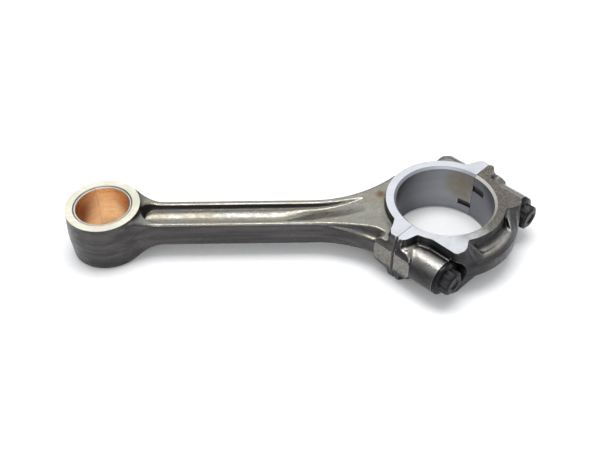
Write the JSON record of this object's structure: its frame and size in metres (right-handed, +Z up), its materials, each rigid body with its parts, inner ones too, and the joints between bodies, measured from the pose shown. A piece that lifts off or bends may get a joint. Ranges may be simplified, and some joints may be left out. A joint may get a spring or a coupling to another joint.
{
  "type": "connecting rod",
  "caption": "Engine connecting rod: I-section shank, bushed small end, and a big end split at 45 degrees with a cap clamped by flanged twelve-point bolts.",
  "frame": {"origin": "middle of the bottom of the bounding box, under the part as it lies flat on its side", "axes": "+X from the small end to the big end, +Z up along both bores, +Y away from the side that holds cap_bolt_near"},
  "size_m": [0.3212, 0.1268, 0.038],
  "materials": {
    "forged_steel": "dark forged skin with ground faces",
    "cap_steel": "dark forged skin with ground faces",
    "bush_bronze": "satin machined bronze",
    "bolt_black": "semi-gloss black oxide",
    "sleeve_steel": "ground steel"
  },
  "bodies": {
    "rod": {"rod_body": "forged_steel", "small_end_bush": "bush_bronze", "dowel_sleeve_near": "sleeve_steel", "dowel_sleeve_far": "sleeve_steel"},
    "cap": {"bearing_cap": "cap_steel"},
    "bolt_near": {"cap_bolt_near": "bolt_black"},
    "bolt_far": {"cap_bolt_far": "bolt_black"}
  },
  "joints": [
    {"name": "cap_lift", "type": "slide", "parent": "rod", "child": "cap", "axis": [0.7071, -0.7071, 0], "range_m": [0, 0.06]},
    {"name": "bolt_near_out", "type": "slide", "parent": "cap", "child": "bolt_near", "axis": [0.7071, -0.7071, 0], "range_m": [0, 0.075]},
    {"name": "bolt_far_out", "type": "slide", "parent": "cap", "child": "bolt_far", "axis": [0.7071, -0.7071, 0], "range_m": [0, 0.075]}
  ]
}
